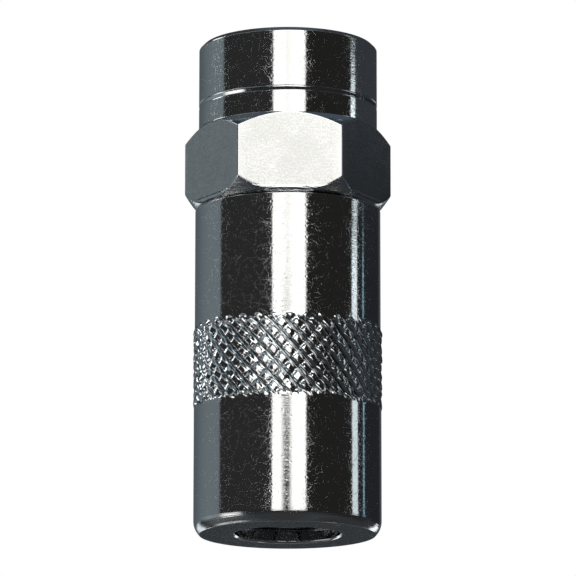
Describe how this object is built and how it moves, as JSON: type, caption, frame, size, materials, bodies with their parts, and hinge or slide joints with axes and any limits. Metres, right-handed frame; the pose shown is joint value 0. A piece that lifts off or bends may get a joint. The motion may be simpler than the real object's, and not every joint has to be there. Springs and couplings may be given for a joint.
{
  "type": "grease coupler",
  "caption": "Hydraulic grease coupler: hexagonal inlet body and knurled nose sleeve around a sprung jaw collet, a seal piston and a ball check valve.",
  "frame": {"origin": "centre of the nose face, on the coupler's axis, where the coupler stands on its nose", "axes": "+Z along the axis from the nose to the inlet, two flats of the hexagon facing -Y and +Y, two corners on X"},
  "size_m": [0.0174, 0.0158, 0.0416],
  "materials": {
    "body_plating": "bright plated steel, lightly brushed on the flats",
    "sleeve_plating": "bright plated steel with fine polishing marks",
    "hard_steel": "hardened, lightly oiled steel",
    "spring_steel": "drawn spring wire",
    "piston_brass": "turned brass",
    "seal_rubber": "matt nitrile rubber",
    "ball_steel": "polished bearing ball"
  },
  "bodies": {
    "body": {"inlet_body": "body_plating", "piston_snap_ring": "spring_steel"},
    "spring_pack": {"jaw_spring": "spring_steel"},
    "sleeve": {"nose_sleeve": "sleeve_plating"},
    "jaw_pusher": {"thrust_washer": "hard_steel", "jaw_expander_ring": "spring_steel"},
    "jaw_a": {"jaw_1": "hard_steel"},
    "jaw_b": {"jaw_2": "hard_steel"},
    "jaw_c": {"jaw_3": "hard_steel"},
    "jaw_d": {"jaw_4": "hard_steel"},
    "piston": {"seal_piston": "piston_brass", "piston_o_ring": "seal_rubber", "seal_cup": "hard_steel", "nipple_seal": "seal_rubber", "check_spring": "spring_steel"},
    "ball": {"check_ball": "ball_steel"}
  },
  "joints": [
    {"name": "sleeve_advance", "type": "slide", "parent": "body", "child": "spring_pack", "axis": [0, 0, -1], "range_m": [0, 0.001], "deforming": ["jaw_spring"]},
    {"name": "sleeve_turn", "type": "hinge", "parent": "spring_pack", "child": "sleeve", "pos_m": [0, 0, 0], "axis": [0, 0, -1], "range_deg": [0, 360], "deforming": ["jaw_spring"]},
    {"name": "jaw_retract", "type": "slide", "parent": "sleeve", "child": "jaw_pusher", "axis": [0, 0, 1], "range_m": [0, 0.0018], "stiffness_N_per_m": 1300, "springref_m": -0.004, "deforming": ["jaw_spring", "jaw_expander_ring"]},
    {"name": "jaw_a_slide", "type": "slide", "parent": "sleeve", "child": "jaw_a", "axis": [0.4226, 0, 0.9063], "range_m": [0, 0.002]},
    {"name": "jaw_b_slide", "type": "slide", "parent": "sleeve", "child": "jaw_b", "axis": [0, 0.4226, 0.9063], "range_m": [0, 0.002]},
    {"name": "jaw_c_slide", "type": "slide", "parent": "sleeve", "child": "jaw_c", "axis": [-0.4226, 0, 0.9063], "range_m": [0, 0.002]},
    {"name": "jaw_d_slide", "type": "slide", "parent": "sleeve", "child": "jaw_d", "axis": [0, -0.4226, 0.9063], "range_m": [0, 0.002]},
    {"name": "seal_retract", "type": "slide", "parent": "body", "child": "piston", "axis": [0, 0, 1], "range_m": [0, 0.0015], "stiffness_N_per_m": 600, "springref_m": -0.003, "deforming": ["check_spring"]},
    {"name": "check_lift", "type": "slide", "parent": "body", "child": "ball", "axis": [0, 0, -1], "range_m": [0, 0.001], "stiffness_N_per_m": 600, "springref_m": -0.002, "deforming": ["check_spring"]}
  ],
  "couplings": [
    {"joint": "sleeve_turn", "follows": "sleeve_advance", "rad_per_m": 6283},
    {"joint": "jaw_a_slide", "follows": "jaw_retract", "ratio": 1.1034},
    {"joint": "jaw_b_slide", "follows": "jaw_retract", "ratio": 1.1034},
    {"joint": "jaw_c_slide", "follows": "jaw_retract", "ratio": 1.1034},
    {"joint": "jaw_d_slide", "follows": "jaw_retract", "ratio": 1.1034}
  ]
}
